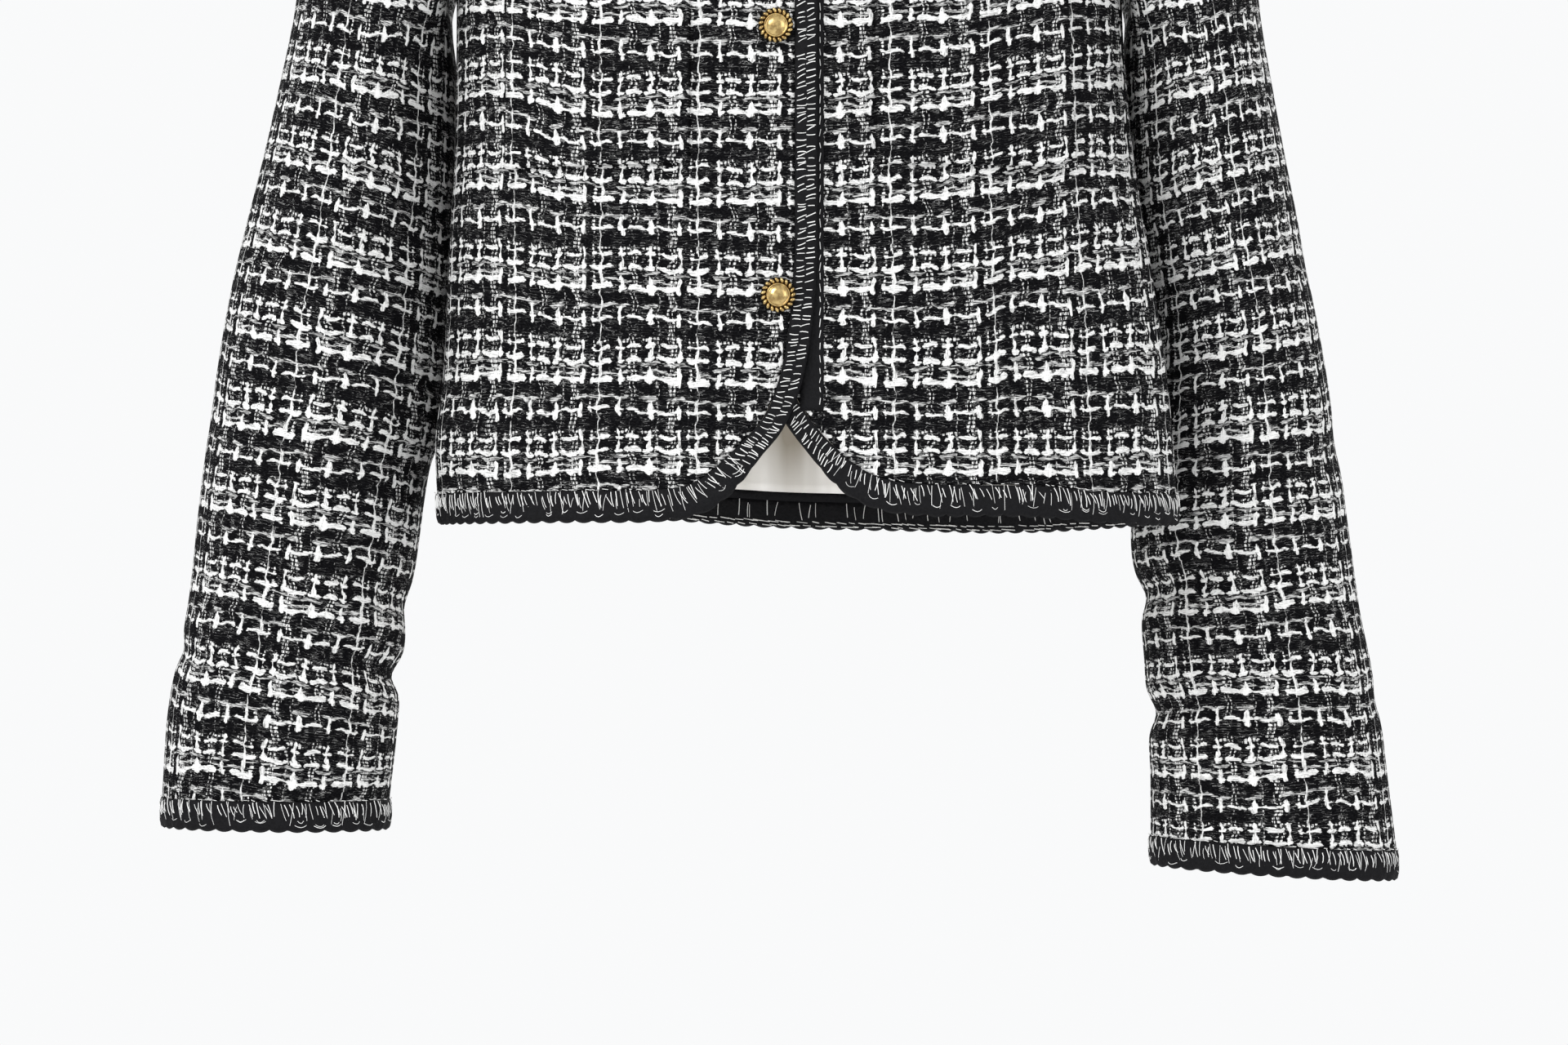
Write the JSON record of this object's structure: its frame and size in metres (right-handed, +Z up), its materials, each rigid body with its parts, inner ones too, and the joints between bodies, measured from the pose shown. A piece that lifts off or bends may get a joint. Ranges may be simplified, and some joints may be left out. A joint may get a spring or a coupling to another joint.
{
  "type": "cropped tweed jacket",
  "caption": "Cropped collarless tweed jacket, worn and buttoned, with patch pockets, long straight sleeves and crocheted edging.",
  "frame": {"origin": "the neck base, midway between and level with the inner ends of the shoulder seams", "axes": "+Z up, -Y towards the front of the garment, +X to the wearer's left"},
  "size_m": [0.6352, 0.2451, 0.6659],
  "materials": {
    "tweed": "black and white boucle weave, matt",
    "edging": "crocheted black braid with fine pale threads",
    "lining": "ivory satin",
    "button": "polished gilt metal"
  },
  "bodies": {
    "root": {"front_right": "tweed", "front_left": "tweed", "back": "tweed", "sleeve_right": "tweed", "sleeve_left": "tweed", "pocket_right": "tweed", "pocket_left": "tweed", "edging_front_right": "edging", "edging_front_left": "edging", "edging_back_hem": "edging", "edging_back_neck": "edging", "edging_cuff_right": "edging", "edging_cuff_left": "edging", "lining_back": "lining", "button_1": "button", "button_2": "button", "button_3": "button"}
  },
  "joints": []
}
